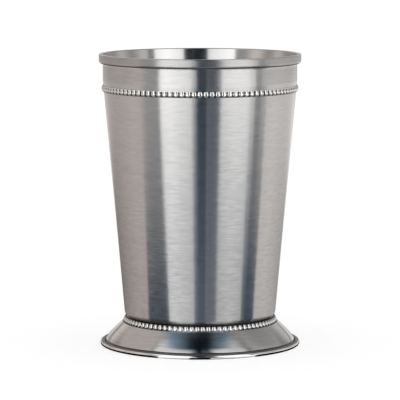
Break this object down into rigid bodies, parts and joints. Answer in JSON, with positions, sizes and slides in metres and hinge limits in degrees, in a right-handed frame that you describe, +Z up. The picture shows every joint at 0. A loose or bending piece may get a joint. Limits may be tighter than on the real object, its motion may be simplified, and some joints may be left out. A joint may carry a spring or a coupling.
{
  "type": "julep cup",
  "caption": "Footed metal julep cup: tapered brushed-steel beaker with a turned-out rim, bands of polished beads below the rim and round the neck, and a flared foot with a rolled edge.",
  "frame": {"origin": "on the table, at the centre of the foot", "axes": "+Z up along the cup's axis of revolution; X and Y are alike"},
  "size_m": [0.0788, 0.0788, 0.1143],
  "materials": {
    "satin_steel": "satin, brushed round the axis",
    "polished_steel": "polished",
    "braze_metal": "as flowed, dull"
  },
  "bodies": {
    "root": {"cup_body": "satin_steel", "upper_bead_band": "polished_steel", "foot": "satin_steel", "foot_bead_band": "polished_steel", "braze_fillet": "braze_metal"}
  },
  "joints": []
}
